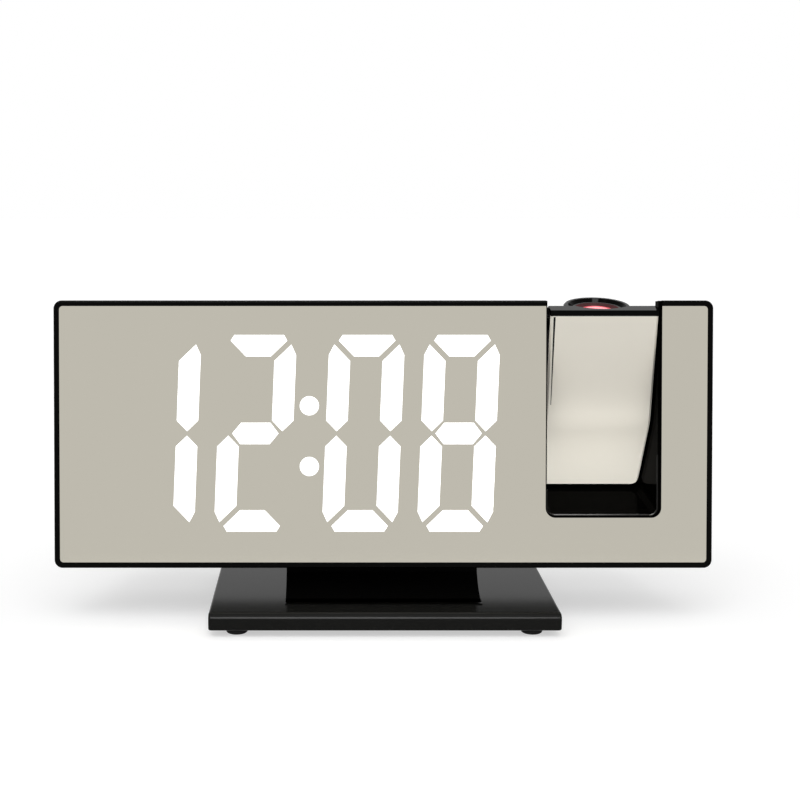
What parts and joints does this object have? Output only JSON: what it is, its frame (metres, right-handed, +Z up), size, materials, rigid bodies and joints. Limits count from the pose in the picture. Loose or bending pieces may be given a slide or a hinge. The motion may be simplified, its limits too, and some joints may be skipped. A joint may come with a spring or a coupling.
{
  "type": "projection alarm clock",
  "caption": "Leaning mirror-faced desk clock on a flat stand, with a lit digital display and a hinged projector head in a slot at its right end.",
  "frame": {"origin": "middle of the footprint on the table", "axes": "+X to the right seen from the front, +Y away from the viewer, +Z up"},
  "size_m": [0.1854, 0.062, 0.09],
  "materials": {
    "gloss_black": "high gloss",
    "satin_black": "fine satin",
    "stand_black": "satin gloss",
    "half_mirror": "warm grey mirror",
    "head_mirror": "pale warm mirror",
    "white_light": "lit white",
    "unlit_bar": "unlit",
    "board_green": "solder mask",
    "chip_cream": "clear resin",
    "switch_black": "moulded",
    "key_grey": "satin",
    "steel": "plated",
    "dark_steel": "black plated",
    "rubber": "matte",
    "lens_glass": "clear, red lit",
    "clear_glass": "clear",
    "red_resin": "lit red"
  },
  "bodies": {
    "clock_body": {"front_frame": "gloss_black", "mirror_panel": "half_mirror", "projector_bay": "gloss_black", "rear_housing": "satin_black", "segment_block": "switch_black", "lit_segments": "white_light", "unlit_segments": "unlit_bar", "display_board": "board_green", "display_chips": "chip_cream", "control_board": "board_green", "board_screws": "steel", "key_switches": "switch_black", "snooze_switch": "switch_black", "buzzer": "switch_black", "power_inlet": "steel", "coin_cell": "steel", "cell_contacts": "steel", "housing_screws": "dark_steel", "stand_screws": "dark_steel", "bay_screws": "steel", "stand_base": "stand_black", "stand_neck": "stand_black", "ballast_plate": "steel", "base_screws": "dark_steel", "base_feet": "rubber"},
    "projector_head": {"head_shell": "gloss_black", "head_face": "head_mirror", "pivot_pins": "steel", "lamp_board": "board_green", "red_lamp": "red_resin", "optic_spacers": "switch_black", "condenser_lens": "clear_glass", "time_slide": "clear_glass"},
    "focus_ring": {"focus_ring": "gloss_black"},
    "lens_carrier": {"lens_carrier": "switch_black", "projection_lens": "lens_glass"},
    "snooze_bar": {"snooze_bar": "key_grey"},
    "battery_door": {"battery_door": "satin_black"},
    "set_button": {"set_button": "key_grey"},
    "alarm_button": {"alarm_button": "key_grey"},
    "hour_button": {"hour_button": "key_grey"},
    "minute_button": {"minute_button": "key_grey"},
    "projector_button": {"projector_button": "key_grey"}
  },
  "joints": [
    {"name": "head_tilt", "type": "hinge", "parent": "clock_body", "child": "projector_head", "pos_m": [0.06206, 0.00515, 0.08368], "axis": [-1, 0, 0], "range_deg": [0, 105]},
    {"name": "focus_turn", "type": "hinge", "parent": "projector_head", "child": "focus_ring", "pos_m": [0.06206, 0.00515, 0.08368], "axis": [0, -0.1616, 0.9869], "range_deg": [-60, 60]},
    {"name": "focus_travel", "type": "slide", "parent": "projector_head", "child": "lens_carrier", "axis": [0, -0.1616, 0.9869], "range_m": [-0.001, 0.001]},
    {"name": "snooze_press", "type": "slide", "parent": "clock_body", "child": "snooze_bar", "axis": [0, -0.2576, -0.9663], "range_m": [0, 0.0008], "stiffness_N_per_m": 1200},
    {"name": "battery_door_turn", "type": "hinge", "parent": "clock_body", "child": "battery_door", "pos_m": [-0.044, 0.02145, 0.04152], "axis": [0, 0.991, -0.134], "range_deg": [0, 45]},
    {"name": "set_button_press", "type": "slide", "parent": "clock_body", "child": "set_button", "axis": [0, -0.991, 0.134], "range_m": [0, 0.0006], "stiffness_N_per_m": 900},
    {"name": "alarm_button_press", "type": "slide", "parent": "clock_body", "child": "alarm_button", "axis": [0, -0.991, 0.134], "range_m": [0, 0.0006], "stiffness_N_per_m": 900},
    {"name": "hour_button_press", "type": "slide", "parent": "clock_body", "child": "hour_button", "axis": [0, -0.991, 0.134], "range_m": [0, 0.0006], "stiffness_N_per_m": 900},
    {"name": "minute_button_press", "type": "slide", "parent": "clock_body", "child": "minute_button", "axis": [0, -0.991, 0.134], "range_m": [0, 0.0006], "stiffness_N_per_m": 900},
    {"name": "projector_button_press", "type": "slide", "parent": "clock_body", "child": "projector_button", "axis": [0, -0.991, 0.134], "range_m": [0, 0.0006], "stiffness_N_per_m": 900}
  ],
  "couplings": [
    {"joint": "focus_turn", "follows": "focus_travel", "rad_per_m": 1047.1}
  ]
}
